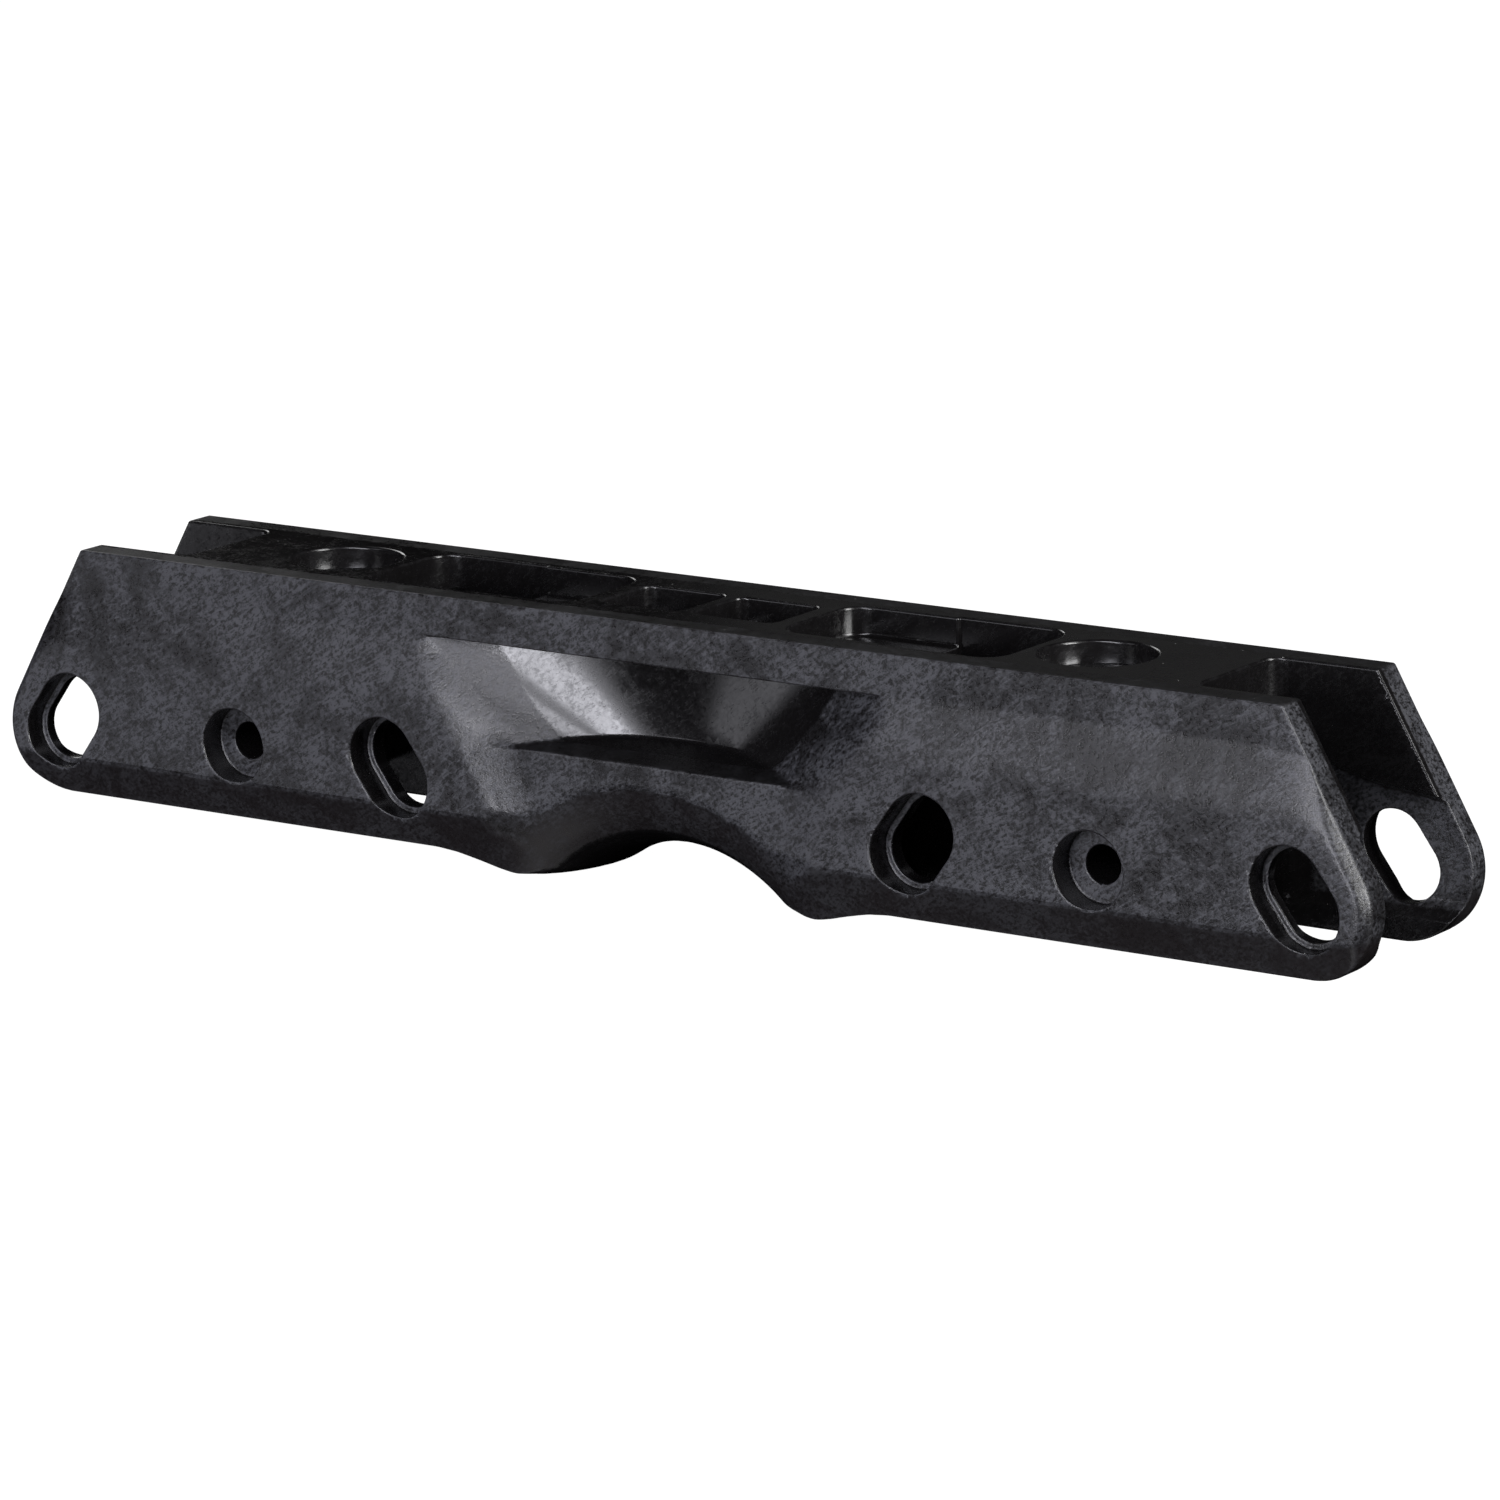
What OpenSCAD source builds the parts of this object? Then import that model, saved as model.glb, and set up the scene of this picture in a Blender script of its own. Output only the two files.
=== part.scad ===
// Four-wheel inline skate frame, moulded in one piece with a centre grind block.
// X runs along the frame, Y across it, Z up. The origin is on the floor plane
// under the middle of the frame: the two feet of the grind block reach z = 0.

/* [Deck] */
// Height of the deck above the lowest point of the feet
deck_z = 51.2; // [50.6:0.2:52.4]
// Width of the deck over its two upper bands
deck_w = 39.1; // [38.7:0.1:39.5]
// Half length of the deck's top edge
deck_half_l = 130.85; // [130.2:0.05:131.4]
// Depth of the small pockets and of the long pockets' shelves
pocket_depth = 5.4; // [5:0.1:5.8]

/* [Walls] */
// Free gap between the walls, where the wheels run
wheel_gap = 26.4; // [25.8:0.1:26.6]
// Width over the thick lower pads
pad_w = 44; // [43.6:0.1:44.4]
// Height of the walls' bottom edge above the feet
wall_bottom_z = 3.4; // [3.2:0.1:3.6]

/* [Axles] */
// Height of the axle line
axle_z = 18.1; // [17.9:0.1:18.3]
// Distance of the outer axles from the middle
outer_axle_x = 134.6; // [134.2:0.1:135]
// Distance of the inner axles from the middle
inner_axle_x = 57.3; // [56.9:0.1:57.7]
// Radius that is kept free for a wheel
wheel_clear_r = 28.5; // [28:0.1:28.9]
// Radius of the round ends of an axle slot's outer step
slot_r = 7.1; // [6.9:0.1:7.2]
// Radius of the round ends of an axle slot's lip
slot_lip_r = 5.9; // [5.6:0.1:6.1]
// Distance between the two centres of an axle slot
slot_len = 5.5; // [5:0.1:5.8]
// Angle of a slot's long axis from level
slot_angle = 54; // [50:1:58]

/* [Mounting] */
// Distance between the two mounting bolts
mount_pitch = 165; // [165]
// Diameter of the round recess for a mounting washer
recess_d = 21.4; // [21.2:0.1:21.8]
// Depth of that recess
recess_depth = 5.7; // [5.5:0.1:5.8]
// Diameter of the mounting bolt's hole
bolt_hole_d = 6.6; // [6.4:0.1:6.8]
// Diameter of the washer in the recess
washer_d = 21; // [20.6:0.1:21]
// Thickness of that washer
washer_t = 1.5; // [1.4:0.1:1.6]
// Width across the flats of the captive nut
nut_af = 10; // [9.8:0.1:10]
// Height of the captive nut
nut_h = 4.8; // [4.6:0.1:5]

/* [Cross holes] */
// Distance of the cross holes from the middle
cross_x = 93.6; // [93.2:0.1:94]
// Diameter of a cross hole
cross_d = 7; // [6.8:0.1:7.2]
// Diameter of its outer step
cross_step_d = 14; // [13.6:0.1:14.2]
// Depth of its outer step
cross_step_depth = 5.3; // [5:0.1:5.5]

/* [Grind block] */
// Radius of the waist's arc just above the lower flange
waist_r_low = 44; // [43:0.5:45]
// How far the waist's straight sides turn from the frame's length
waist_side = 31; // [30:0.5:32]
// Half length of the waist under the deck band
waist_half_high = 50; // [49:0.5:51]
// How far the waist goes in from the flange at the bottom
waist_depth_low = 12.4; // [12:0.1:12.6]
// How far the waist goes in from the deck band at the top
waist_depth_high = 11.4; // [11:0.1:11.8]
// Radius of the grind groove at the walls' lower edge
groove_r = 38.6; // [38.2:0.1:39]

/* [Hidden] */
$fn = 72;
half_w = deck_w / 2;
gap = wheel_gap / 2;
pad_y = pad_w / 2;
mount_x = mount_pitch / 2;
// creases of the outer faces, from the deck down
band_z = 43.45;      // lower edge of the upright band under the deck
pad_z = 33.7;        // upper edge of the thick pads
bevel_z = 11.4;      // upper edge of the dark bevel along the bottom
bevel_y = 18;        // where that bevel meets the walls' bottom
flange_y = 20;       // outer face of the grind block's lower flange
ledge_z = 24.9;      // upper edge of that flange
// the rounded ends
end_x = 135.8;
end_r = 12.9;
end_z = wall_bottom_z + end_r;
end_tilt = 29.54;    // lean of the slanted ends from upright
// the nut hangs under a web below the recess
web_z = deck_z - recess_depth - 3.5;

module both_x() { children(); mirror([1, 0, 0]) children(); }
module both_y() { children(); mirror([0, 1, 0]) children(); }
// a side outline (x, z), as a slab from y0 to y1
module slab(y0, y1) { translate([0, y1, 0]) rotate([90, 0, 0]) linear_extrude(y1 - y0) children(); }
// a section (y, z), as a bar from x0 to x1
module bar(x0, x1) { translate([x0, 0, 0]) rotate([90, 0, 90]) linear_extrude(x1 - x0) children(); }

// points of the rounded end, set off by d from the outline
function end_arc(d) = [for (i = [0:24]) let (a = end_tilt - i * (end_tilt + 90) / 24)
    [end_x + (end_r + d) * cos(a), end_z + (end_r + d) * sin(a)]];
// lower edge from the rounded end to the middle of a foot
function foot_edge() = [[49.5, wall_bottom_z], [45, 2.9], [40, 1.7], [36.5, 0.7], [33.5, 0.1], [31.5, 0]];
// the whole frame seen from the side, without its holes
module side_outline() {
    half = concat([[deck_half_l, deck_z]], end_arc(0), foot_edge());
    n = len(half);
    polygon(concat(half, [for (i = [1:n]) [-half[n - i][0], half[n - i][1]]]));
}
// where a level line meets the slanted end, set off by d
function slant_x(z, d) = (deck_half_l * cos(end_tilt) + deck_z * sin(end_tilt) + d - z * sin(end_tilt)) / cos(end_tilt);
// one thick pad: its base is larger than its face, so its edges slope
module pad() {
    drop = (pad_y - half_w + 1) / (pad_y - half_w);
    base_z = pad_z + (band_z - pad_z) * drop;
    hull() {
        slab(pad_y - 0.01, pad_y) polygon(concat(
            [[51, pad_z], [slant_x(pad_z, -1.6) - 3.2, pad_z], [slant_x(pad_z, -1.6) - 0.9, pad_z - 1.1]],
            [[slant_x(pad_z - 3.6, -1.6), pad_z - 3.6]], end_arc(-1.6),
            [[31, 5], [33, 11.2], [45.4, 30.6], [47.4, 32.8]]));
        slab(half_w - 1, half_w - 0.99) polygon(concat(
            [[41, base_z], [slant_x(base_z, 1.1), base_z]], end_arc(1.1),
            [[24, 4], [25.5, 15], [38.4, 35.4]]));
    }
}

// the bevel along the bottom, seen as what it takes off the outer faces
module bottom_bevel() {
    k = (pad_y - bevel_y) / (bevel_z - wall_bottom_z);
    bar(-160, 160) polygon([[bevel_y - k * (wall_bottom_z + 2), -2], [pad_y + 3, -2],
        [pad_y + 3, bevel_z + 3 / k], [pad_y, bevel_z]]);
}

// plan of the waist at one level: an arc of radius r that starts at y, and its straight sides
module waist_plan(r, y) {
    out = pad_y + 10;
    x1 = r * sin(waist_side);
    y1 = y + r - r * cos(waist_side);
    x2 = x1 + (out - y1) / tan(waist_side);
    polygon(concat([[-x2, out]], [for (i = [-16:16]) let (a = i * waist_side / 16)
        [r * sin(a), y + r - r * cos(a)]], [[x2, out]]));
}
module waist() {
    r_high = (waist_half_high * waist_half_high + waist_depth_high * waist_depth_high) / (2 * waist_depth_high);
    y_high = half_w - waist_depth_high;
    y_low = flange_y - waist_depth_low;
    // the cone runs on 5.6 mm below the level where its lower radius is given
    k = 5.6 / (band_z - ledge_z - 1.6);
    hull() {
        translate([0, 0, ledge_z - 4]) linear_extrude(0.01)
            waist_plan(waist_r_low - k * (r_high - waist_r_low), y_low - k * (y_high - y_low));
        translate([0, 0, band_z]) linear_extrude(0.01) waist_plan(r_high, y_high);
    }
}
// the flange's upper face rises towards the middle
module waist_cut() {
    intersection() {
        waist();
        bar(-90, 90) polygon([[0, ledge_z + 0.18 * flange_y], [flange_y, ledge_z],
            [40, ledge_z - 0.18 * 20], [40, band_z], [0, band_z]]);
    }
}

// the groove across the grind block: round along the frame, and bulged across it.
// From the middle out: half width across the frame, radius less groove_r
function groove_side() = [[0, -5.63], [2.5, -5.52], [5, -5.2], [7.5, -4.68], [10, -3.9], [12, -3],
    [14, -1.7], [16, 0.5], [17, 1.8], [18, 3.4], [19, 5.4], [20, 7.8], [21.5, 12], [30, 38]];
module grind_groove() {
    half = groove_side();
    n = len(half);
    translate([0, 0, -25.6]) rotate([90, 0, 0]) rotate_extrude($fn = 144) polygon(concat(
        [[0, -30]], [for (i = [1:n]) [groove_r + half[n - i][1], -half[n - i][0]]],
        [for (i = [1:n - 1]) [groove_r + half[i][1], half[i][0]]], [[0, 30]]));
}

// an axle slot, as an upright shape round its own middle
module slot_shape(r, lean) {
    a = lean > 0 ? slot_angle : 180 - slot_angle;
    polygon([for (s = [1, -1], i = [0:24]) let (t = a - 90 * s + i * 7.5)
        [s * slot_len / 2 * cos(a) + r * cos(t), s * slot_len / 2 * sin(a) + r * sin(t)]]);
}
// slots of one wall: a wide outer step, then a lip
module axle_slots() {
    for (p = [[outer_axle_x, -1, 4.4], [inner_axle_x, 1, 5.4]]) {
        slab(pad_y - p[2], pad_y + 5) translate([p[0], axle_z]) slot_shape(slot_r, p[1]);
        slab(5, pad_y + 1) translate([p[0], axle_z]) slot_shape(slot_lip_r, p[1]);
    }
}

// cross holes through both walls and the bulkhead between two wheels
module cross_holes() {
    translate([cross_x, 0, axle_z]) rotate([90, 0, 0]) {
        cylinder(h = 60, d = cross_d, center = true);
        for (s = [0, 1]) mirror([0, 0, s]) translate([0, 0, pad_y - cross_step_depth]) cylinder(h = 10, d = cross_step_d);
    }
}

// rounded rectangle between two x positions, symmetric in y
module round_rect(x0, x1, h, r) {
    polygon([for (c = [[x1 - r, h - r, 0], [x0 + r, h - r, 90], [x0 + r, r - h, 180], [x1 - r, r - h, 270]],
        i = [0:10]) [c[0] + r * cos(c[2] + 9 * i), c[1] + r * sin(c[2] + 9 * i)]]);
}

// openings of the deck on the +X half
module deck_openings() {
    // small pocket beside the middle rib
    translate([0, 0, deck_z - pocket_depth]) linear_extrude(10) round_rect(1.2, 19.2, 8.2, 2.2);
    // long pocket: a shelf, then an opening over the inner wheel
    translate([0, 0, deck_z - pocket_depth]) linear_extrude(10) round_rect(22.9, 69.5, 12.4, 5);
    translate([0, 0, axle_z]) linear_extrude(40) intersection() {
        round_rect(40, 69.5, gap, 5);
        translate([45.5, -20]) square([30, 40]);
    }
    // notch over the outer wheel, open at the end
    translate([0, 0, axle_z]) linear_extrude(40) round_rect(110, 170, gap, 3);
}

// space for the wheels, between the walls
module wheel_wells() {
    for (x = [inner_axle_x, outer_axle_x]) translate([x, 0, axle_z]) rotate([90, 0, 0])
        cylinder(h = wheel_gap, r = wheel_clear_r, center = true, $fn = 160);
    // below the axle line the bulkheads stop short of the walls' bottom
    slab(-gap, gap) polygon([[33, -5], [150, -5], [150, 9], [85, 9], [40, 9]]);
    translate([outer_axle_x, -gap, -5]) cube([30, wheel_gap, 60]);
}

// shallow channel in the inner faces round the outer axle, open at the end
module inner_channel() {
    intersection() {
        bar(115, 160) polygon([[gap - 0.5, 6.9], [15.3, 11.2], [15.3, 60], [gap - 0.5, 60]]);
        slab(gap - 1, 16) polygon([[110, 5], [165, 5], [165, 28.3], [142.7, 29.6], [131.5, 30.8], [123, 32.9], [110, 38]]);
    }
}

module mount_hole() {
    translate([mount_x, 0, deck_z - recess_depth]) cylinder(h = 10, d = recess_d);
    translate([mount_x, 0, 30]) cylinder(h = 20, d = bolt_hole_d);
    // pocket that holds the nut from below
    translate([mount_x, 0, 18]) cylinder(h = web_z - 18, d = (nut_af + 0.1) / cos(30), $fn = 6);
}

module body_block() {
    intersection() {
        slab(-30, 30) side_outline();
        union() {
            both_y() slab(gap - 2, half_w) side_outline();
            both_y() both_x() pad();
            // the block, deck and bulkheads between the walls
            translate([-125, -gap - 1, -1]) cube([250, wheel_gap + 2, 60]);
            // flange of the grind block
            translate([-36, -flange_y, -1]) cube([72, 2 * flange_y, ledge_z + 1]);
        }
    }
}

module frame_body() {
    color([0.13, 0.13, 0.14]) difference() {
        body_block();
        both_y() waist_cut();
        both_y() bottom_bevel();
        grind_groove();
        both_x() {
            wheel_wells();
            deck_openings();
            cross_holes();
            mount_hole();
            both_y() axle_slots();
            both_y() inner_channel();
        }
    }
}

module mount_washer(x) {
    color([0.75, 0.75, 0.76]) translate([x, 0, deck_z - recess_depth]) difference() {
        cylinder(h = washer_t, d = washer_d);
        translate([0, 0, -1]) cylinder(h = washer_t + 2, d = bolt_hole_d);
    }
}

module mount_nut(x) {
    color([0.7, 0.7, 0.71]) translate([x, 0, web_z - nut_h]) difference() {
        intersection() {
            cylinder(h = nut_h, d = nut_af / cos(30), $fn = 6);
            // turned corners
            union() {
                cylinder(h = 0.8, r1 = nut_af / 2 - 0.1, r2 = nut_af / 2 + 1.3);
                translate([0, 0, 0.8]) cylinder(h = nut_h - 0.8, r = nut_af / 2 + 1.3);
            }
        }
        translate([0, 0, -1]) cylinder(h = nut_h + 2, d = 6);
    }
}

module front_mount_washer() mount_washer(mount_x);
module rear_mount_washer() mount_washer(-mount_x);
module front_mount_nut() mount_nut(mount_x);
module rear_mount_nut() mount_nut(-mount_x);

frame_body();
front_mount_washer();
rear_mount_washer();
front_mount_nut();
rear_mount_nut();
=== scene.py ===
import math

import bmesh
import bpy
import numpy as np
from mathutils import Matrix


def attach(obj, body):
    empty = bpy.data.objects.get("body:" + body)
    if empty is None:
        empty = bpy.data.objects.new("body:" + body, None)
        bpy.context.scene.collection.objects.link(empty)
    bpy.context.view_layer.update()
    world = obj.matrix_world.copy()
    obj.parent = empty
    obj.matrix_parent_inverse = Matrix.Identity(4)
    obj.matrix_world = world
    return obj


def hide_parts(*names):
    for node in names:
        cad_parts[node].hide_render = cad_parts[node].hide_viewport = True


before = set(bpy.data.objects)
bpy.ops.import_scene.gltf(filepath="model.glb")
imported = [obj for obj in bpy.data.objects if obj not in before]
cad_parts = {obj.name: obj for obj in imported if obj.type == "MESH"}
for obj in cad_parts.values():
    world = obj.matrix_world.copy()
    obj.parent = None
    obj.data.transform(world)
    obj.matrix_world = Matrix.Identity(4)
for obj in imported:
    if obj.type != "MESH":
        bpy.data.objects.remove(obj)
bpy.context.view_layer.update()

import openvdb as vdb
from mathutils import Matrix, Vector

scene = bpy.context.scene


# ---------------------------------------------------------------- camera
def make_camera():
    az, el, roll = math.radians(34.41468), math.radians(13.09873), math.radians(-0.87271)
    back = Vector((math.sin(az) * math.cos(el), -math.cos(az) * math.cos(el), math.sin(el)))
    right = Vector((math.cos(az), math.sin(az), 0.0))
    up = back.cross(right)
    r0 = math.cos(roll) * right + math.sin(roll) * up
    r1 = -math.sin(roll) * right + math.cos(roll) * up
    data = bpy.data.cameras.new("camera")
    data.sensor_width = 36.0
    data.lens = 7215.832 * 36.0 / 1500.0
    data.clip_start, data.clip_end = 0.05, 60.0
    cam = bpy.data.objects.new("camera", data)
    m = Matrix((r0, r1, back)).transposed().to_4x4()
    m.translation = Vector((0.7282997, -1.0507865, 0.3213909))
    cam.matrix_world = m
    scene.collection.objects.link(cam)
    scene.camera = cam


make_camera()

# ---------------------------------------------------------------- the moulding as a distance field, in mm
F = np.float32


def rmax(a, b, r):
    """Intersection of two solids, with a round edge of radius r."""
    u, v = np.maximum(a + F(r), 0), np.maximum(b + F(r), 0)
    return np.minimum(np.maximum(a, b), F(-r)) + np.sqrt(u * u + v * v)


def rmin(a, b, r):
    """Union of two solids, with a filleted corner of radius r."""
    return -rmax(-a, -b, r)


def cut(a, b, r):
    """a without b, with a round rim of radius r."""
    return rmax(a, -b, r)


def plane2(u, v, p, q):
    """Distance from the line p to q, positive on its right-hand side."""
    du, dv = q[0] - p[0], q[1] - p[1]
    n = math.hypot(du, dv)
    return ((u - F(p[0])) * F(dv) - (v - F(p[1])) * F(du)) / F(n)


HALF_W, PAD_Y, GAP = 19.55, 22.0, 13.2
DECK_Z, DECK_X, WALL_Z, AXLE_Z = 51.2, 130.85, 3.4, 18.1
TILT = math.radians(29.54)
END_X, END_R = 135.8, 12.9
END_Z = WALL_Z + END_R
SLANT_C = DECK_X * math.cos(TILT) + DECK_Z * math.sin(TILT)
PAD_Z, BAND_Z, LEDGE_Z, FLANGE_Y = 33.7, 43.45, 24.9, 20.0
CROSS_X, MOUNT_X = 93.6, 82.5
RECESS_Z = DECK_Z - 5.7
POCKET_Z = DECK_Z - 5.4


def slant_x(z, d):
    return (SLANT_C + d - z * math.sin(TILT)) / math.cos(TILT)


# lower edge from the middle of the frame outwards
FOOT = np.array([[0, 0], [30.5, 0], [33.5, 0.1], [36.5, 0.7], [40, 1.7], [45, 2.9], [49.5, 3.4], [160, 3.4]])
fx = np.linspace(0, 160, 1601)
fz = np.interp(fx, FOOT[:, 0], FOOT[:, 1])
kernel = np.hanning(41)
fz = np.convolve(np.pad(fz, 20, mode="edge"), kernel / kernel.sum(), mode="valid")
fz = np.maximum(fz, 0)
slope = np.gradient(fz, fx)


def end_shape(x, z):
    """The slanted end, the round end and the walls' bottom edge."""
    d1 = x * F(math.cos(TILT)) + z * F(math.sin(TILT)) - F(SLANT_C)
    zb = np.interp(x, fx, fz).astype(F)
    sb = np.interp(x, fx, slope).astype(F)
    d2 = (zb - z) / np.sqrt(1 + sb * sb)
    vx, vz = x - F(END_X), z - F(END_Z)
    in_arc = (F(math.cos(TILT)) * vz - F(math.sin(TILT)) * vx <= 0) & (vx >= 0)
    return np.where(in_arc, np.sqrt(vx * vx + vz * vz) - F(END_R), np.maximum(d1, d2))


def hull_planes(points):
    """The faces of the points' convex hull, as unit normals and distances."""
    p = np.array(points, float)
    n = len(p)
    found = []
    for i in range(n):
        for j in range(i + 1, n):
            for k in range(j + 1, n):
                c = np.cross(p[j] - p[i], p[k] - p[i])
                size = np.linalg.norm(c)
                if size < 1e-6:
                    continue
                c = c / size
                side = (p - p[i]) @ c
                if side.max() < 1e-5:
                    pass
                elif side.min() > -1e-5:
                    c = -c
                else:
                    continue
                row = (*c, float(c @ p[i]))
                if not any(abs(np.array(row) - np.array(o)).max() < 1e-4 for o in found):
                    found.append(row)
    return found


def pad_planes():
    drop = (PAD_Y - HALF_W + 1) / (PAD_Y - HALF_W)
    base_z = PAD_Z + (BAND_Z - PAD_Z) * drop
    top = slant_x(PAD_Z, -1.6)
    face = [(51, PAD_Z), (top - 3.2, PAD_Z), (top - 0.9, PAD_Z - 1.1), (slant_x(PAD_Z - 3.6, -1.6), PAD_Z - 3.6),
            (slant_x(-20, -1.6), -20), (26.5, -20), (31, 5), (33, 11.2), (45.4, 30.6), (47.4, 32.8)]
    base = [(41, base_z), (slant_x(base_z, 1.1), base_z), (slant_x(-20, 1.1), -20),
            (20.7, -20), (24, 4), (25.5, 15), (38.4, 35.4)]
    pts = [(x, PAD_Y, z) for x, z in face] + [(x, HALF_W - 1, z) for x, z in base]
    end = np.array([math.cos(TILT), 2.7 / 3.45, math.sin(TILT)])
    end /= np.linalg.norm(end)
    return [p for p in hull_planes(pts) if p[1] > -0.9 and p[2] > -0.9 and np.dot(p[:3], end) < 0.997]


PADS = pad_planes()


def pad(x, y, z, end):
    """One thick lower pad. Its edges slope, and its creases are soft."""
    soft = F(0.22)
    offset = F(-1.6) + (F(PAD_Y) - y) * F(2.7 / 3.45)
    chamfer = (end - offset) / F(math.sqrt(1 + (2.7 / 3.45) ** 2))
    rows = [chamfer] + [x * F(a) + y * F(b) + z * F(c) - F(d) for a, b, c, d in PADS]
    top = rows[0]
    for r in rows[1:]:
        top = np.maximum(top, r)
    total = np.zeros_like(top)
    for r in rows:
        total += np.exp(np.maximum((r - top) / soft, -12))
    return top + soft * np.log(total)


def waist(x, y, z):
    """The slanted cone with straight sides that is pressed into each side of the grind block, and the ledge below it."""
    z0, z1 = LEDGE_Z + 1.6, BAND_Z
    r0, r1 = 44.0, (50.0 ** 2 + 11.4 ** 2) / (2 * 11.4)
    c0, c1 = FLANGE_Y - 12.4 + r0, HALF_W - 11.4 + r1
    rr, cc = (r1 - r0) / (z1 - z0), (c1 - c0) / (z1 - z0)
    ca, sa = math.cos(math.radians(31)), math.sin(math.radians(31))
    s = z - F(z0)
    r, c = np.maximum(F(r0) + s * F(rr), F(2)), F(c0) + s * F(cc)
    v = c - y
    rho = np.sqrt(x * x + v * v)
    arc = x * F(ca) <= v * F(sa)
    dz = np.where(arc, v / np.maximum(rho, 1), F(ca)) * F(cc) - F(rr)
    wall = np.where(arc, rho - r, x * F(sa) + v * F(ca) - r) / np.sqrt(1 + dz * dz)
    ledge = (F(LEDGE_Z + 0.18 * FLANGE_Y) - F(0.18) * y - z) * F(0.984)
    return wall, ledge


# radius of the groove's section at each distance from the frame's middle plane
SIDE = np.array([[0, 32.97], [2.5, 33.08], [5, 33.4], [7.5, 33.92], [10, 34.7], [12, 35.6], [14, 36.9], [16, 39.1],
                 [17, 40.4], [18, 42], [19, 44], [20, 46.4], [21.5, 50.6], [30, 76.6]])
gy = np.linspace(0, 30, 1201)
gr = np.interp(gy, SIDE[:, 0], SIDE[:, 1])
kernel = np.hanning(57)
gr = np.convolve(np.concatenate([gr[28:0:-1], gr, gr[-1] + (gr[-1] - gr[-2]) * np.arange(1, 29)]), kernel / kernel.sum(), mode="valid")
gs = np.gradient(gr, gy)


def groove(x, y, z):
    r = np.interp(y, gy, gr).astype(F)
    lean = np.interp(y, gy, gs).astype(F)
    return (np.sqrt(x * x + (z + F(25.6)) ** 2) - r) / np.sqrt(1 + lean * lean)


def rect(x, y, x0, x1, h, r):
    """A rounded rectangle between two x positions."""
    u = np.abs(x - F((x0 + x1) / 2)) - F((x1 - x0) / 2 - r)
    v = y - F(h - r)
    p, q = np.maximum(u, 0), np.maximum(v, 0)
    return np.sqrt(p * p + q * q) + np.minimum(np.maximum(u, v), 0) - F(r)


def slot(x, z, cx, lean, r):
    a = math.radians(54.0)
    ux, uz = lean * math.cos(a), math.sin(a)
    px, pz = x - F(cx), z - F(AXLE_Z)
    t = np.clip(px * F(ux) + pz * F(uz), F(-2.75), F(2.75))
    return np.sqrt((px - t * F(ux)) ** 2 + (pz - t * F(uz)) ** 2) - F(r)


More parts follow.
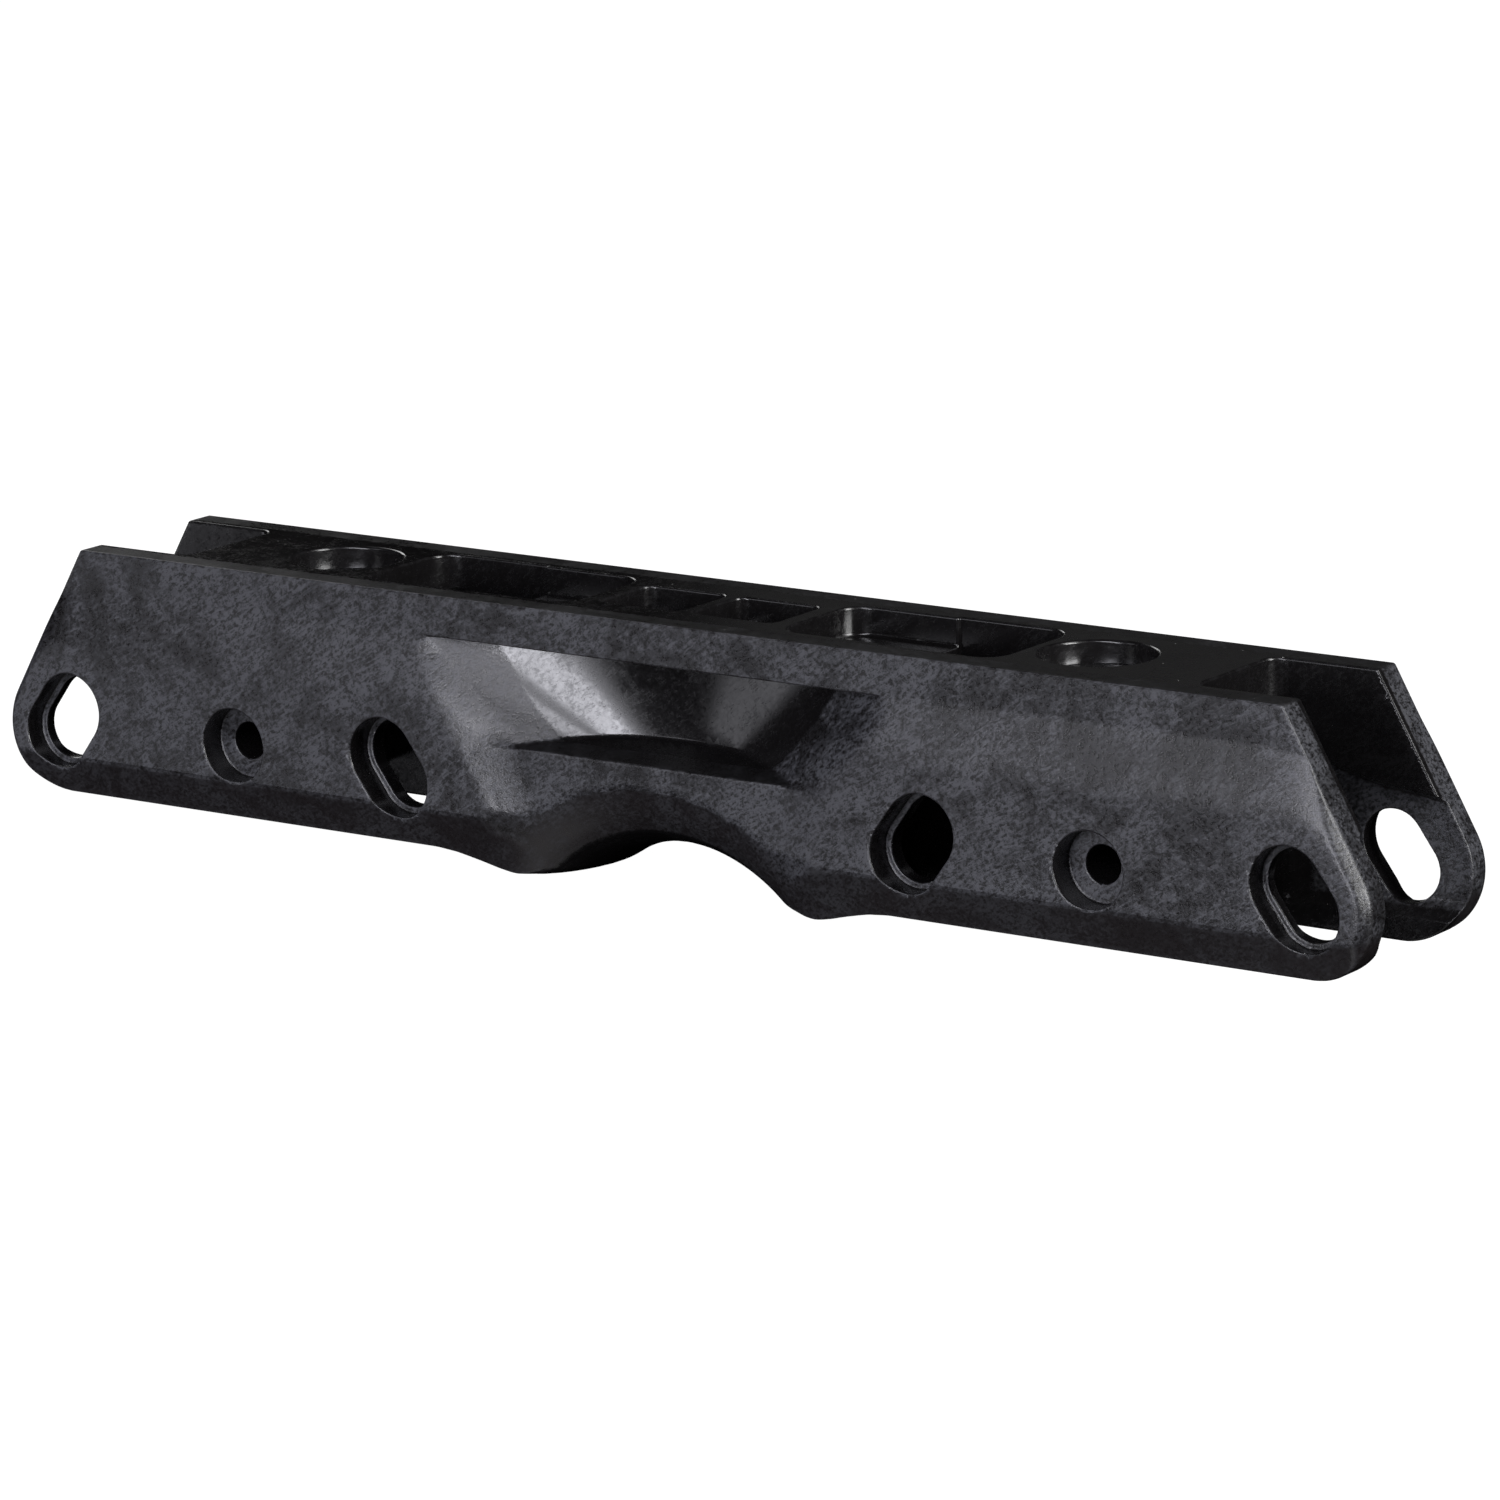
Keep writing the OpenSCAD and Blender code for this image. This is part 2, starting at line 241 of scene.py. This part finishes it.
def body(x, y, z):
    """Distance to the moulding's surface for points with x and y not negative."""
    end = end_shape(x, z)
    # the walls' upper band, the pads and the grind block's flange
    band = y - F(HALF_W)
    thick = pad(x, y, z, end)
    front = y - F(FLANGE_Y) + F(0.08) * np.maximum(z - F(26), 0)
    flange = rmax(front, plane2(x, z, (43, 33), (30.5, 11.2)) * -1, 0.3)
    joint = F(0.2) + F(1.8) * np.clip((F(27) - z) / F(3), 0, 1)
    shell = rmin(band, rmin(thick, flange, joint), 0.1)
    # the waist: its rim is soft beside the pads, and crisp under the band and along the ledge
    wall, ledge = waist(x, y, z)
    top = z - F(BAND_Z)
    soft = np.clip((wall - ledge) / F(3) + F(0.5), 0, 1) * np.clip(top / F(-3), 0, 1)
    shell = cut(shell, rmax(rmax(wall, ledge, 0.6), top, 0.3), F(0.3) + F(1.4) * soft)
    shell = rmax(shell, (y - F(18) - F(0.5) * (z - F(3.4))) / F(math.sqrt(1.25)), 0.35)
    outline = rmax(end, z - F(DECK_Z), 0.35)
    d = rmax(shell, outline, 0.3)
    d = cut(d, groove(x, y, z), F(0.3) + F(1.5) * np.clip((F(9) - z) / F(6), 0, 1))
    # space for the wheels
    rho1 = np.sqrt((x - F(57.3)) ** 2 + (z - F(AXLE_Z)) ** 2) - F(28.5)
    rho2 = np.sqrt((x - F(134.6)) ** 2 + (z - F(AXLE_Z)) ** 2) - F(28.5)
    low = np.maximum(z - F(9), plane2(x, z, (33, -5), (40, 9)) * -1)
    well = rmin(rmin(rho1, low, 0.8), rmin(rho2, F(134.6) - x, 0.3), 0.8)
    well = rmax(well, y - F(GAP), 0.8)
    # the deck's openings: the notch over the outer wheel and the way through to the inner wheel
    notch = np.maximum(rect(x, y, 110, 170, GAP, 3), F(AXLE_Z) - z)
    way = np.maximum(np.maximum(rect(x, y, 40, 69.5, GAP, 5), F(45.5) - x), F(AXLE_Z) - z)
    well = np.minimum(np.minimum(well, notch), way)
    d = cut(d, well, 0.4)
    line = np.interp(x, [115, 123, 131.5, 142.7, 150], [36.5, 33.3, 31.2, 30, 29.4]).astype(F)
    upper = (z - line + F(0.62) * (y - F(13.2))) / F(1.2)
    channel = rmax(rmax((y - F(13.2) - (x - F(113)) * F(0.3)) * F(0.958), y - F(15.3), 0.6),
                   rmax(plane2(y, z, (12.7, 6.9), (15.3, 11.2)), upper, 0.3), 0.25)
    d = cut(d, np.maximum(channel, F(12) - y), 0.2)
    # pockets in the deck
    small = rmax(rect(x, y, 1.2, 19.2, 8.2, 2.2), F(POCKET_Z) - z, 0.6)
    long = rmax(rect(x, y, 22.9, 69.5, 12.4, 5), F(POCKET_Z) - z, 0.6)
    d = cut(cut(d, small, 0.4), long, 0.4)
    # boot bolts: recess, hole and the nut's pocket
    px = x - F(MOUNT_X)
    pr = np.sqrt(px * px + y * y)
    d = cut(d, rmax(pr - F(10.7), F(RECESS_Z) - z, 0.25), 0.5)
    d = cut(d, pr - F(3.3), 0.3)
    hexa = np.maximum(np.abs(y), F(math.sqrt(0.75)) * np.abs(px) + F(0.5) * np.abs(y)) - F(5.05)
    d = cut(d, np.maximum(np.maximum(hexa, z - F(42)), F(18) - z), 0.3)
    # cross holes
    cr = np.sqrt((x - F(CROSS_X)) ** 2 + (z - F(AXLE_Z)) ** 2)
    d = cut(d, rmax(cr - F(7), F(PAD_Y - 5.3) - y, 0.35), 0.35)
    d = cut(d, cr - F(3.5), 0.3)
    # axle slots
    for cx, lean, deep in ((134.6, -1, 4.4), (57.3, 1, 5.4)):
        d = cut(d, rmax(slot(x, z, cx, lean, 7.1), F(PAD_Y - deep) - y, 0.35), 0.35)
        d = cut(d, np.maximum(slot(x, z, cx, lean, 5.9), F(5) - y), 0.3)
    return d


def field(p):
    """body() for any points, as the frame is the same front to back and left to right."""
    p = p.astype(F)
    return body(np.abs(p[:, 0]), np.abs(p[:, 1]), p[:, 2])


def quarter_grid(step):
    nx, ny, nz = int(150.5 / step), int(23.5 / step), int(53.5 / step)
    xs = ((np.arange(nx) + 0.5) * step).astype(F)
    ys = ((np.arange(ny) + 0.5) * step).astype(F)
    zs = ((np.arange(nz) + 0.5) * step - 1.2).astype(F)
    out = np.empty((nx, ny, nz), F)
    yy, zz = np.meshgrid(ys, zs, indexing="ij")
    for i in range(0, nx, 8):
        x = xs[i:i + 8][:, None, None]
        shape = (len(x), ny, nz)
        args = [np.ascontiguousarray(np.broadcast_to(a, shape)).ravel() for a in (x, yy[None], zz[None])]
        out[i:i + 8] = body(*args).reshape(shape)
    return out, float(zs[0])


def make_mesh(step, adaptivity):
    q, z0 = quarter_grid(step)
    q = np.clip(q, -4 * step, 4 * step)
    q = np.concatenate([q[:, ::-1], q], axis=1)
    q = np.concatenate([q[::-1], q], axis=0)
    grid = vdb.FloatGrid(4 * step)
    grid.copyFromArray(q)
    pts, tris, quads = grid.convertToPolygons(isovalue=0.0, adaptivity=adaptivity)
    n = np.array(q.shape)
    pts = pts.astype(np.float64)
    pts[:, 0] = (pts[:, 0] - (n[0] - 1) / 2) * step
    pts[:, 1] = (pts[:, 1] - (n[1] - 1) / 2) * step
    pts[:, 2] = pts[:, 2] * step + z0
    return pts, tris, quads


def gradient(p, h=0.02):
    """The field's gradient, and how convex the surface is (the sum of its second derivatives)."""
    g = np.empty_like(p)
    bend = -6 * field(p).astype(float)
    for k in range(3):
        e = np.zeros(3)
        e[k] = h
        a, b = field(p + e).astype(float), field(p - e).astype(float)
        g[:, k] = (a - b) / (2 * h)
        bend += a + b
    return g, bend / (h * h)


def settle(pts, step, rounds):
    """Moves points onto the surface."""
    for _ in range(rounds):
        g = gradient(pts)[0]
        size = np.maximum((g * g).sum(1), 0.4)
        move = -(field(pts) / size)[:, None] * g
        length = np.linalg.norm(move, axis=1, keepdims=True)
        pts += move * np.minimum(1, 0.4 * step / np.maximum(length, 1e-9))
    return pts


def add_mesh(name, pts, tris, quads):
    me = bpy.data.meshes.new(name)
    loops = np.concatenate([tris.ravel(), quads.ravel()]).astype(np.int32)
    sizes = np.concatenate([np.full(len(tris), 3), np.full(len(quads), 4)]).astype(np.int32)
    starts = np.concatenate([[0], np.cumsum(sizes)[:-1]]).astype(np.int32)
    me.vertices.add(len(pts))
    me.vertices.foreach_set("co", (pts * 0.001).astype(F).ravel())
    me.loops.add(len(loops))
    me.loops.foreach_set("vertex_index", loops)
    me.polygons.add(len(sizes))
    me.polygons.foreach_set("loop_start", starts)
    me.update(calc_edges=True)
    me.validate()
    return me


def set_normals(me, pts, normals):
    """The surface's own normals, but a wide flat triangle beside a round edge keeps its face normal."""
    n = len(me.loops)
    vi = np.empty(n, np.int32)
    me.loops.foreach_get("vertex_index", vi)
    sizes = np.empty(len(me.polygons), np.int32)
    me.polygons.foreach_get("loop_total", sizes)
    face = np.repeat(np.arange(len(sizes)), sizes)
    p = pts[vi]
    starts = np.concatenate([[0], np.cumsum(sizes)[:-1]])
    after = np.arange(n) + 1
    after[starts + sizes - 1] = starts
    cross = np.zeros((len(sizes), 3))
    np.add.at(cross, face, np.cross(p, p[after]))
    area2 = np.linalg.norm(cross, axis=1)
    longest = np.zeros(len(sizes))
    np.maximum.at(longest, face, np.linalg.norm(p[after] - p, axis=1))
    flat = cross / np.maximum(area2, 1e-12)[:, None]
    height = area2 / np.maximum(longest, 1e-9)
    corner = normals[vi]
    agree = (corner * flat[face]).sum(1)
    use = (height[face] > 0.3) & (agree < math.cos(math.radians(5)))
    corner[use] = flat[face][use]
    me.normals_split_custom_set(corner.astype(F))


def frame_object(step, adaptivity, limit):
    """The moulding's mesh: a fine one is made from the field, then thinned where it is flat."""
    pts, tris, quads = make_mesh(step, adaptivity)
    me = add_mesh("fine", settle(pts, step, 1), tris, quads)
    fine = bpy.data.objects.new("fine", me)
    scene.collection.objects.link(fine)
    count = len(tris) + 2 * len(quads)
    if count > limit:
        thin = fine.modifiers.new("thin", "DECIMATE")
        thin.ratio = limit / count
        thin.use_collapse_triangulate = True
    view = bpy.context.evaluated_depsgraph_get()
    out = bpy.data.meshes.new_from_object(fine.evaluated_get(view))
    out.name = "frame_moulding"
    bpy.data.objects.remove(fine)
    bpy.data.meshes.remove(me)
    pts = np.empty(len(out.vertices) * 3, F)
    out.vertices.foreach_get("co", pts)
    pts = settle(pts.reshape(-1, 3).astype(float) * 1000, step, 1)
    out.vertices.foreach_set("co", (pts * 0.001).astype(F).ravel())
    out.update()
    g = gradient(pts, 0.04)[0]
    normals = g / np.maximum(np.linalg.norm(g, axis=1, keepdims=True), 1e-6)
    out.polygons.foreach_set("use_smooth", np.ones(len(out.polygons), bool))
    set_normals(out, pts, normals)
    # convexity for the material's edge mark: a painted highlight on convex edges, mixed with wear
    edge = np.clip(gradient(pts, 0.3)[1] * 0.45, 0, 1)
    out.attributes.new("convex_edge_highlight_and_wear", "FLOAT", "POINT").data.foreach_set("value", edge.astype(F))
    ax, az = np.abs(pts[:, 0]).astype(F), pts[:, 2].astype(F)
    hole = np.sqrt((ax - F(CROSS_X)) ** 2 + (az - F(AXLE_Z)) ** 2) - F(7)
    for cx, lean in ((134.6, -1), (57.3, 1)):
        hole = np.minimum(hole, slot(ax, az, cx, lean, 7.1))
    hole = np.clip((F(0.3) - hole) / F(0.3), 0, 1)
    out.attributes.new("hole", "FLOAT", "POINT").data.foreach_set("value", hole.astype(F))
    ob = bpy.data.objects.new("frame_moulding", out)
    scene.collection.objects.link(ob)
    return ob


moulding = frame_object(0.3, 0.01, 196000)
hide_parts("frame_body")
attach(moulding, "root")


# ---------------------------------------------------------------- washers and nuts
def turned(name, radius, rows, steps, at):
    """A closed ring of faces. radius(angle, row) gives radius and height of each row's points."""
    verts = []
    for i in range(steps):
        a = 2 * math.pi * i / steps
        for k in range(rows):
            r, h = radius(a, k)
            verts.append((r * math.cos(a) * 0.001, r * math.sin(a) * 0.001, h * 0.001))
    faces = []
    for i in range(steps):
        for k in range(rows):
            j, m = (i + 1) % steps, (k + 1) % rows
            faces.append((i * rows + k, i * rows + m, j * rows + m, j * rows + k))
    me = bpy.data.meshes.new(name)
    me.from_pydata(verts, [], faces)
    me.update()
    bm = bmesh.new()
    bm.from_mesh(me)
    bmesh.ops.recalc_face_normals(bm, faces=bm.faces)
    bm.to_mesh(me)
    bm.free()
    me.polygons.foreach_set("use_smooth", np.ones(len(me.polygons), bool))
    me.set_sharp_from_angle(angle=math.radians(38))
    ob = bpy.data.objects.new(name, me)
    ob.location = Vector(at) * 0.001
    scene.collection.objects.link(ob)
    return ob


def washer(name, x):
    """A punched washer: its upper rims are rounded, its lower rims nearly sharp."""
    outer, inner, t = 10.5, 3.3, 1.5
    prof = []
    for cx, cz, r, start in ((outer - 0.3, t - 0.3, 0.3, 0), (inner + 0.2, t - 0.2, 0.2, 90),
                             (inner + 0.1, 0.1, 0.1, 180), (outer - 0.12, 0.12, 0.12, 270)):
        for q in range(5):
            w = math.radians(start + 22.5 * q)
            prof.append((cx + r * math.cos(w), cz + r * math.sin(w)))
    return turned(name, lambda a, k: prof[k], len(prof), 120, (x, 0, RECESS_Z))


def nut(name, x):
    """An M6 nut with its thread. The hexagon's lower corners are turned off."""
    h, pitch, n_in, n_out = 4.8, 1.0, 60, 16
    rows = n_in + n_out

    def point(a, k):
        if k < n_in:
            z = h * k / (n_in - 1)
            saw = abs(((z / pitch - a / (2 * math.pi)) % 1.0) * 2 - 1)
            r = 2.5 + 0.5 * min(1, max(0, saw * 1.3 - 0.15))
            return max(r, 3.05 - z, 3.05 - (h - z)), z
        z = h * min(1, max(0, 1 - (k - n_in - 1) / (n_out - 2)))
        if k == n_in:
            return 4.4, h
        flat = 5.0 / math.cos((a + math.pi / 6) % (math.pi / 3) - math.pi / 6)
        return min(flat, 5.62 + (h - z) * 1.7, 4.9 + z * 1.75), z

    return turned(name, point, rows, 144, (x, 0, RECESS_Z - 3.5 - h))


hardware = {}
for end, x in (("front", MOUNT_X), ("rear", -MOUNT_X)):
    for kind, make in (("washer", washer), ("nut", nut)):
        ob = make("%s_%s_steel" % (end, kind), x)
        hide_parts("%s_mount_%s" % (end, kind))
        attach(ob, "root")
        hardware[end, kind] = ob


# ---------------------------------------------------------------- materials
def material(name, color, rough, metallic=0.0):
    m = bpy.data.materials.new(name)
    m.use_nodes = True
    b = m.node_tree.nodes["Principled BSDF"]
    b.inputs["Base Color"].default_value = (*color, 1)
    b.inputs["Roughness"].default_value = rough
    b.inputs["Metallic"].default_value = metallic
    return m


class Net:
    """Short names for the nodes of one material."""

    def __init__(self, m):
        self.tree = m.node_tree
        self.shader = self.tree.nodes["Principled BSDF"]
        self.coords = self.tree.nodes.new("ShaderNodeTexCoord")

    def put(self, socket, value):
        if isinstance(value, bpy.types.NodeSocket):
            self.tree.links.new(value, socket)
        else:
            socket.default_value = value

    def math(self, op, a, b=0.0, clamp=False):
        n = self.tree.nodes.new("ShaderNodeMath")
        n.operation, n.use_clamp = op, clamp
        self.put(n.inputs[0], a)
        self.put(n.inputs[1], b)
        return n.outputs[0]

    def vmath(self, op, a, b=(0, 0, 0)):
        n = self.tree.nodes.new("ShaderNodeVectorMath")
        n.operation = op
        self.put(n.inputs[0], a)
        self.put(n.inputs[1], b)
        return n.outputs["Value"] if op in ("LENGTH", "DOT_PRODUCT") else n.outputs[0]

    def noise(self, vec, scale, detail=2.0, rough=0.5, distortion=0.0, color=False):
        n = self.tree.nodes.new("ShaderNodeTexNoise")
        self.put(n.inputs["Vector"], vec)
        n.inputs["Scale"].default_value = scale
        n.inputs["Detail"].default_value = detail
        n.inputs["Roughness"].default_value = rough
        n.inputs["Distortion"].default_value = distortion
        return n.outputs["Color" if color else "Fac"]

    def remap(self, v, a, b, c=0.0, d=1.0):
        n = self.tree.nodes.new("ShaderNodeMapRange")
        n.interpolation_type = "SMOOTHSTEP"
        self.put(n.inputs["Value"], v)
        n.inputs["From Min"].default_value, n.inputs["From Max"].default_value = a, b
        n.inputs["To Min"].default_value, n.inputs["To Max"].default_value = c, d
        return n.outputs["Result"]

    def mix(self, f, a, b):
        n = self.tree.nodes.new("ShaderNodeMix")
        n.data_type = "RGBA"
        self.put(n.inputs[0], f)
        self.put(n.inputs[6], a)
        self.put(n.inputs[7], b)
        return n.outputs[2]

    def bump(self, height, strength, distance):
        n = self.tree.nodes.new("ShaderNodeBump")
        n.inputs["Strength"].default_value = strength
        n.inputs["Distance"].default_value = distance
        self.put(n.inputs["Height"], height)
        return n.outputs["Normal"]


def nylon_material():
    """Black glass-filled nylon: cloudy flow marks and fine fibres on the drafted faces, smoother elsewhere. Painted
    shade keeps the faces that face up nearly black and darkens the inner faces and bores; faces that face down get a
    painted warm tone of light from below, and convex edges a painted highlight mixed with wear.
    """
    m = material("glass_filled_nylon", (0.02, 0.02, 0.022), 0.4)
    k = Net(m)
    k.shader.inputs["Coat Weight"].default_value = 0.25
    k.shader.inputs["Coat Roughness"].default_value = 0.25
    co, nrm = k.coords.outputs["Object"], k.coords.outputs["Normal"]
    split = k.tree.nodes.new("ShaderNodeSeparateXYZ")
    k.put(split.inputs[0], nrm)
    nz = split.outputs["Z"]
    place = k.tree.nodes.new("ShaderNodeSeparateXYZ")
    k.put(place.inputs[0], co)
    # inner faces between the walls, and the bores below: painted shade in the colour, and lower roughness
    inner = k.remap(k.math("ABSOLUTE", place.outputs["Y"]), 0.0148, 0.0142)
    hole = k.tree.nodes.new("ShaderNodeAttribute")
    hole.attribute_name = "hole"
    bore = k.math("MULTIPLY", hole.outputs["Fac"], k.remap(k.math("ABSOLUTE", split.outputs["Y"]), 0.85, 0.5))
    inner = k.math("MAXIMUM", inner, bore)
    side = k.math("MULTIPLY", k.remap(nz, -0.42, -0.2), k.remap(nz, 0.85, 0.55))
    side = k.math("MULTIPLY", side, k.math("SUBTRACT", 1.0, inner))
    under = k.math("MULTIPLY", k.remap(nz, -0.2, -0.42), k.math("SUBTRACT", 1.0, inner))
    # flow marks
    warp = k.vmath("SCALE", k.vmath("SUBTRACT", k.noise(co, 22, 2, color=True), (0.5, 0.5, 0.5)))
    warp.node.inputs["Scale"].default_value = 0.03
    flow = k.vmath("ADD", co, warp)
    large = k.remap(k.noise(flow, 34, 4, 0.6), 0.36, 0.66)
    small = k.remap(k.noise(flow, 120, 6, 0.68, 0.8), 0.38, 0.64)
    cloud = k.math("ADD", k.math("MULTIPLY", large, 0.5), k.math("MULTIPLY", small, 0.5))
    # fibres near the surface: grain, and short strokes that turn with the flow
    grain = k.noise(co, 1300, 4, 0.75)
    bent = k.vmath("ADD", co, k.vmath("MULTIPLY", warp, (0.2, 0.2, 0.2)))
    strokes = []
    for turn, stretch in ((0.5, (420, 900, 1900)), (-0.9, (1900, 900, 480))):
        r = k.tree.nodes.new("ShaderNodeVectorRotate")
        r.rotation_type = "Y_AXIS"
        r.inputs["Angle"].default_value = turn
        k.put(r.inputs["Vector"], bent)
        strokes.append(k.remap(k.noise(k.vmath("MULTIPLY", r.outputs[0], stretch), 1.0, 2, 0.5, 0.7), 0.5, 0.72))
    fibre = k.math("MAXIMUM", strokes[0], strokes[1])
    fine = k.math("ADD", k.math("MULTIPLY", k.remap(grain, 0.36, 0.64), 0.55), k.math("MULTIPLY", fibre, 0.45))
    # colour
    amount = k.math("MULTIPLY", k.math("ADD", k.math("MULTIPLY", cloud, 1.15), 0.05), k.math("SUBTRACT", k.math("MULTIPLY", fine, 2.5), 0.2), clamp=True)
    # painted shade: faces that face up get only 0.15 of the mottled colour, so they are painted nearly black
    amount = k.math("MULTIPLY", amount, k.math("ADD", k.math("ADD", k.math("MULTIPLY", side, 0.85), 0.15), k.math("MULTIPLY", under, 0.3)))
    # painted shade: inner faces between the walls and the bores of the holes are painted darker
    amount = k.math("MULTIPLY", amount, k.math("SUBTRACT", 1.0, k.math("MULTIPLY", inner, 0.8)))
    base = k.mix(amount, (0.0055, 0.005, 0.0052, 1), (0.062, 0.063, 0.071, 1))
    edge_highlight_attr = k.tree.nodes.new("ShaderNodeAttribute")
    edge_highlight_attr.attribute_name = "convex_edge_highlight_and_wear"
    # painted light: faces that face down are mixed towards a flat warm brown, the tone that light from below gives them
    base = k.mix(k.math("MULTIPLY", under, k.math("SUBTRACT", 0.75, k.math("MULTIPLY", cloud, 0.5))), base, (0.0175, 0.0145, 0.0155, 1))
    edge_highlight_and_wear = k.math("MULTIPLY", edge_highlight_attr.outputs["Fac"], k.remap(k.noise(co, 420, 3, 0.6), 0.4, 0.62))
    edge_highlight_and_wear = k.math("MULTIPLY", edge_highlight_and_wear, k.math("SUBTRACT", 1.0, k.math("MULTIPLY", inner, 0.8)))
    # painted highlight: convex edges are painted lighter, mixed with rubbed wear
    base = k.mix(k.math("MULTIPLY", edge_highlight_and_wear, 0.5), base, (0.07, 0.07, 0.075, 1))
    # a few specks of dust on what faces up
    cells = k.tree.nodes.new("ShaderNodeTexVoronoi")
    k.put(cells.inputs["Vector"], co)
    cells.inputs["Scale"].default_value = 330
    pick = k.tree.nodes.new("ShaderNodeSeparateXYZ")
    k.put(pick.inputs[0], cells.outputs["Color"])
    dust = k.math("MULTIPLY", k.math("MULTIPLY", k.math("LESS_THAN", cells.outputs["Distance"], 0.04), k.math("GREATER_THAN", pick.outputs[0], 0.72)),
                  k.remap(nz, 0.3, 0.7))
    base = k.mix(k.math("MULTIPLY", dust, 0.8), base, (0.55, 0.55, 0.53, 1))
    k.put(k.shader.inputs["Base Color"], base)
    rough = k.math("ADD", k.math("MULTIPLY", cloud, 0.18), 0.32)
    rough = k.math("ADD", rough, k.math("MULTIPLY", k.math("SUBTRACT", fine, 0.5), 0.2))
    rough = k.math("SUBTRACT", rough, k.math("MULTIPLY", edge_highlight_and_wear, 0.06))
    rough = k.math("SUBTRACT", rough, k.math("MULTIPLY", inner, 0.16))
    rough = k.math("MAXIMUM", rough, k.math("MULTIPLY", dust, 0.85))
    k.put(k.shader.inputs["Roughness"], rough)
    relief = k.math("ADD", k.math("MULTIPLY", grain, 0.85), k.math("MULTIPLY", fibre, 0.15))
    relief = k.math("MULTIPLY", relief, k.math("SUBTRACT", k.math("ADD", k.math("MULTIPLY", side, 0.75), 0.25), k.math("MULTIPLY", inner, 0.2)))
    bumpy = k.bump(relief, 0.9, 0.0001)
    k.put(k.shader.inputs["Normal"], bumpy)
    k.put(k.shader.inputs["Coat Normal"], bumpy)
    return m


def steel_material(name, tint):
    """Zinc-plated steel with turning marks round its own axis."""
    m = material(name, tint, 0.3, 1.0)
    k = Net(m)
    co = k.coords.outputs["Object"]
    flat = k.vmath("MULTIPLY", co, (1, 1, 0))
    ring = k.vmath("LENGTH", flat)
    line = k.noise(k.vmath("MULTIPLY", k.vmath("ADD", k.vmath("MULTIPLY", co, (40, 40, 40)), (0, 0, 0)), (1, 1, 1)), 3.0, 3, 0.6)
    comb = k.tree.nodes.new("ShaderNodeCombineXYZ")
    k.put(comb.inputs[0], k.math("MULTIPLY", ring, 5200))
    k.put(comb.inputs[1], line)
    turned_marks = k.noise(comb.outputs[0], 1.0, 2, 0.5)
    plate = k.noise(co, 900, 3, 0.6)
    light = tuple(min(1, c * 1.12) for c in tint)
    dark = tuple(c * 0.72 for c in tint)
    k.put(k.shader.inputs["Base Color"], k.mix(k.remap(plate, 0.3, 0.7), (*dark, 1), (*light, 1)))
    k.put(k.shader.inputs["Roughness"], k.math("ADD", k.math("MULTIPLY", turned_marks, 0.22), k.math("MULTIPLY", plate, 0.2)))
    k.put(k.shader.inputs["Normal"], k.bump(turned_marks, 0.5, 0.00001))
    return m


moulding.data.materials.append(nylon_material())
for kind, tint in (("washer", (0.6, 0.6, 0.61)), ("nut", (0.55, 0.55, 0.56))):
    steel = steel_material("zinc_plated_" + kind, tint)
    for end in ("front", "rear"):
        hardware[end, kind].data.materials.append(steel)


# ---------------------------------------------------------------- stage and light
def stage():
    """A plain pale floor. The camera sees it and the pale room; only the lamps light the object."""
    me = bpy.data.meshes.new("floor")
    s = 8.0
    me.from_pydata([(-s, -s, 0), (s, -s, 0), (s, s, 0), (-s, s, 0)], [], [(0, 1, 2, 3)])
    floor = bpy.data.objects.new("floor", me)
    scene.collection.objects.link(floor)
    m = material("pale_floor", (0.16, 0.16, 0.16), 0.9)
    b = m.node_tree.nodes["Principled BSDF"]
    b.inputs["Specular IOR Level"].default_value = 0.0
    b.inputs["Emission Color"].default_value = (1, 1, 1, 1)
    b.inputs["Emission Strength"].default_value = 1.0
    floor.data.materials.append(m)
    floor.visible_diffuse = False
    floor.visible_glossy = False
    floor.visible_shadow = False
    world = bpy.data.worlds.new("studio")
    scene.world = world
    world.use_nodes = True
    world.node_tree.nodes["Background"].inputs[0].default_value = (1, 1, 1, 1)
    world.node_tree.nodes["Background"].inputs[1].default_value = 1.0
    world.cycles_visibility.diffuse = False
    world.cycles_visibility.glossy = False


def softbox(name, direction, distance, size, radiance, tint=(1, 1, 1), aim=(0, 0, 0.025)):
    """An area lamp of one brightness, in a direction from the object."""
    d = Vector(direction).normalized()
    data = bpy.data.lights.new(name, "AREA")
    data.shape = "RECTANGLE"
    data.size, data.size_y = size
    data.color = tint
    data.energy = radiance * size[0] * size[1] * math.pi
    ob = bpy.data.objects.new(name, data)
    ob.location = Vector(aim) + d * distance
    ob.rotation_euler = (-d).to_track_quat("-Z", "Y").to_euler()
    ob.visible_camera = False
    scene.collection.objects.link(ob)


scene.view_settings.view_transform = "Standard"
stage()
for name, az, el, size, radiance in (("front", 0, 5, (0.5, 0.5), 12.0), ("front_low", -8, -6, (0.35, 0.35), 2.7),
                                     ("front_mid", 8, 20, (0.5, 0.5), 2.8), ("front_high", 18, 33, (0.5, 0.4), 7.6),
                                     ("top", 28, 46, (0.5, 0.4), 3.6), ("front_left", -30, 15, (0.4, 0.4), 2.0),
                                     ("left_low", -54, -12, (0.5, 0.4), 1.3), ("side", 85, 15, (0.6, 0.6), 15.5),
                                     ("side_high", 100, 45, (0.6, 0.6), 6.0), ("rear_left", -120, 25, (0.6, 0.6), 2.7),
                                     ("rear", -155, 14, (0.5, 0.4), 0.04), ("table", 0, -60, (1.0, 1.0), 0.35)):
    a, e = math.radians(az), math.radians(el)
    tint = (0.98, 0.98, 1.06) if name.startswith(("front", "top", "left")) else (1, 1, 1)
    softbox(name, (math.sin(a) * math.cos(e), -math.cos(a) * math.cos(e), math.sin(e)), 1.5, size, radiance, tint)
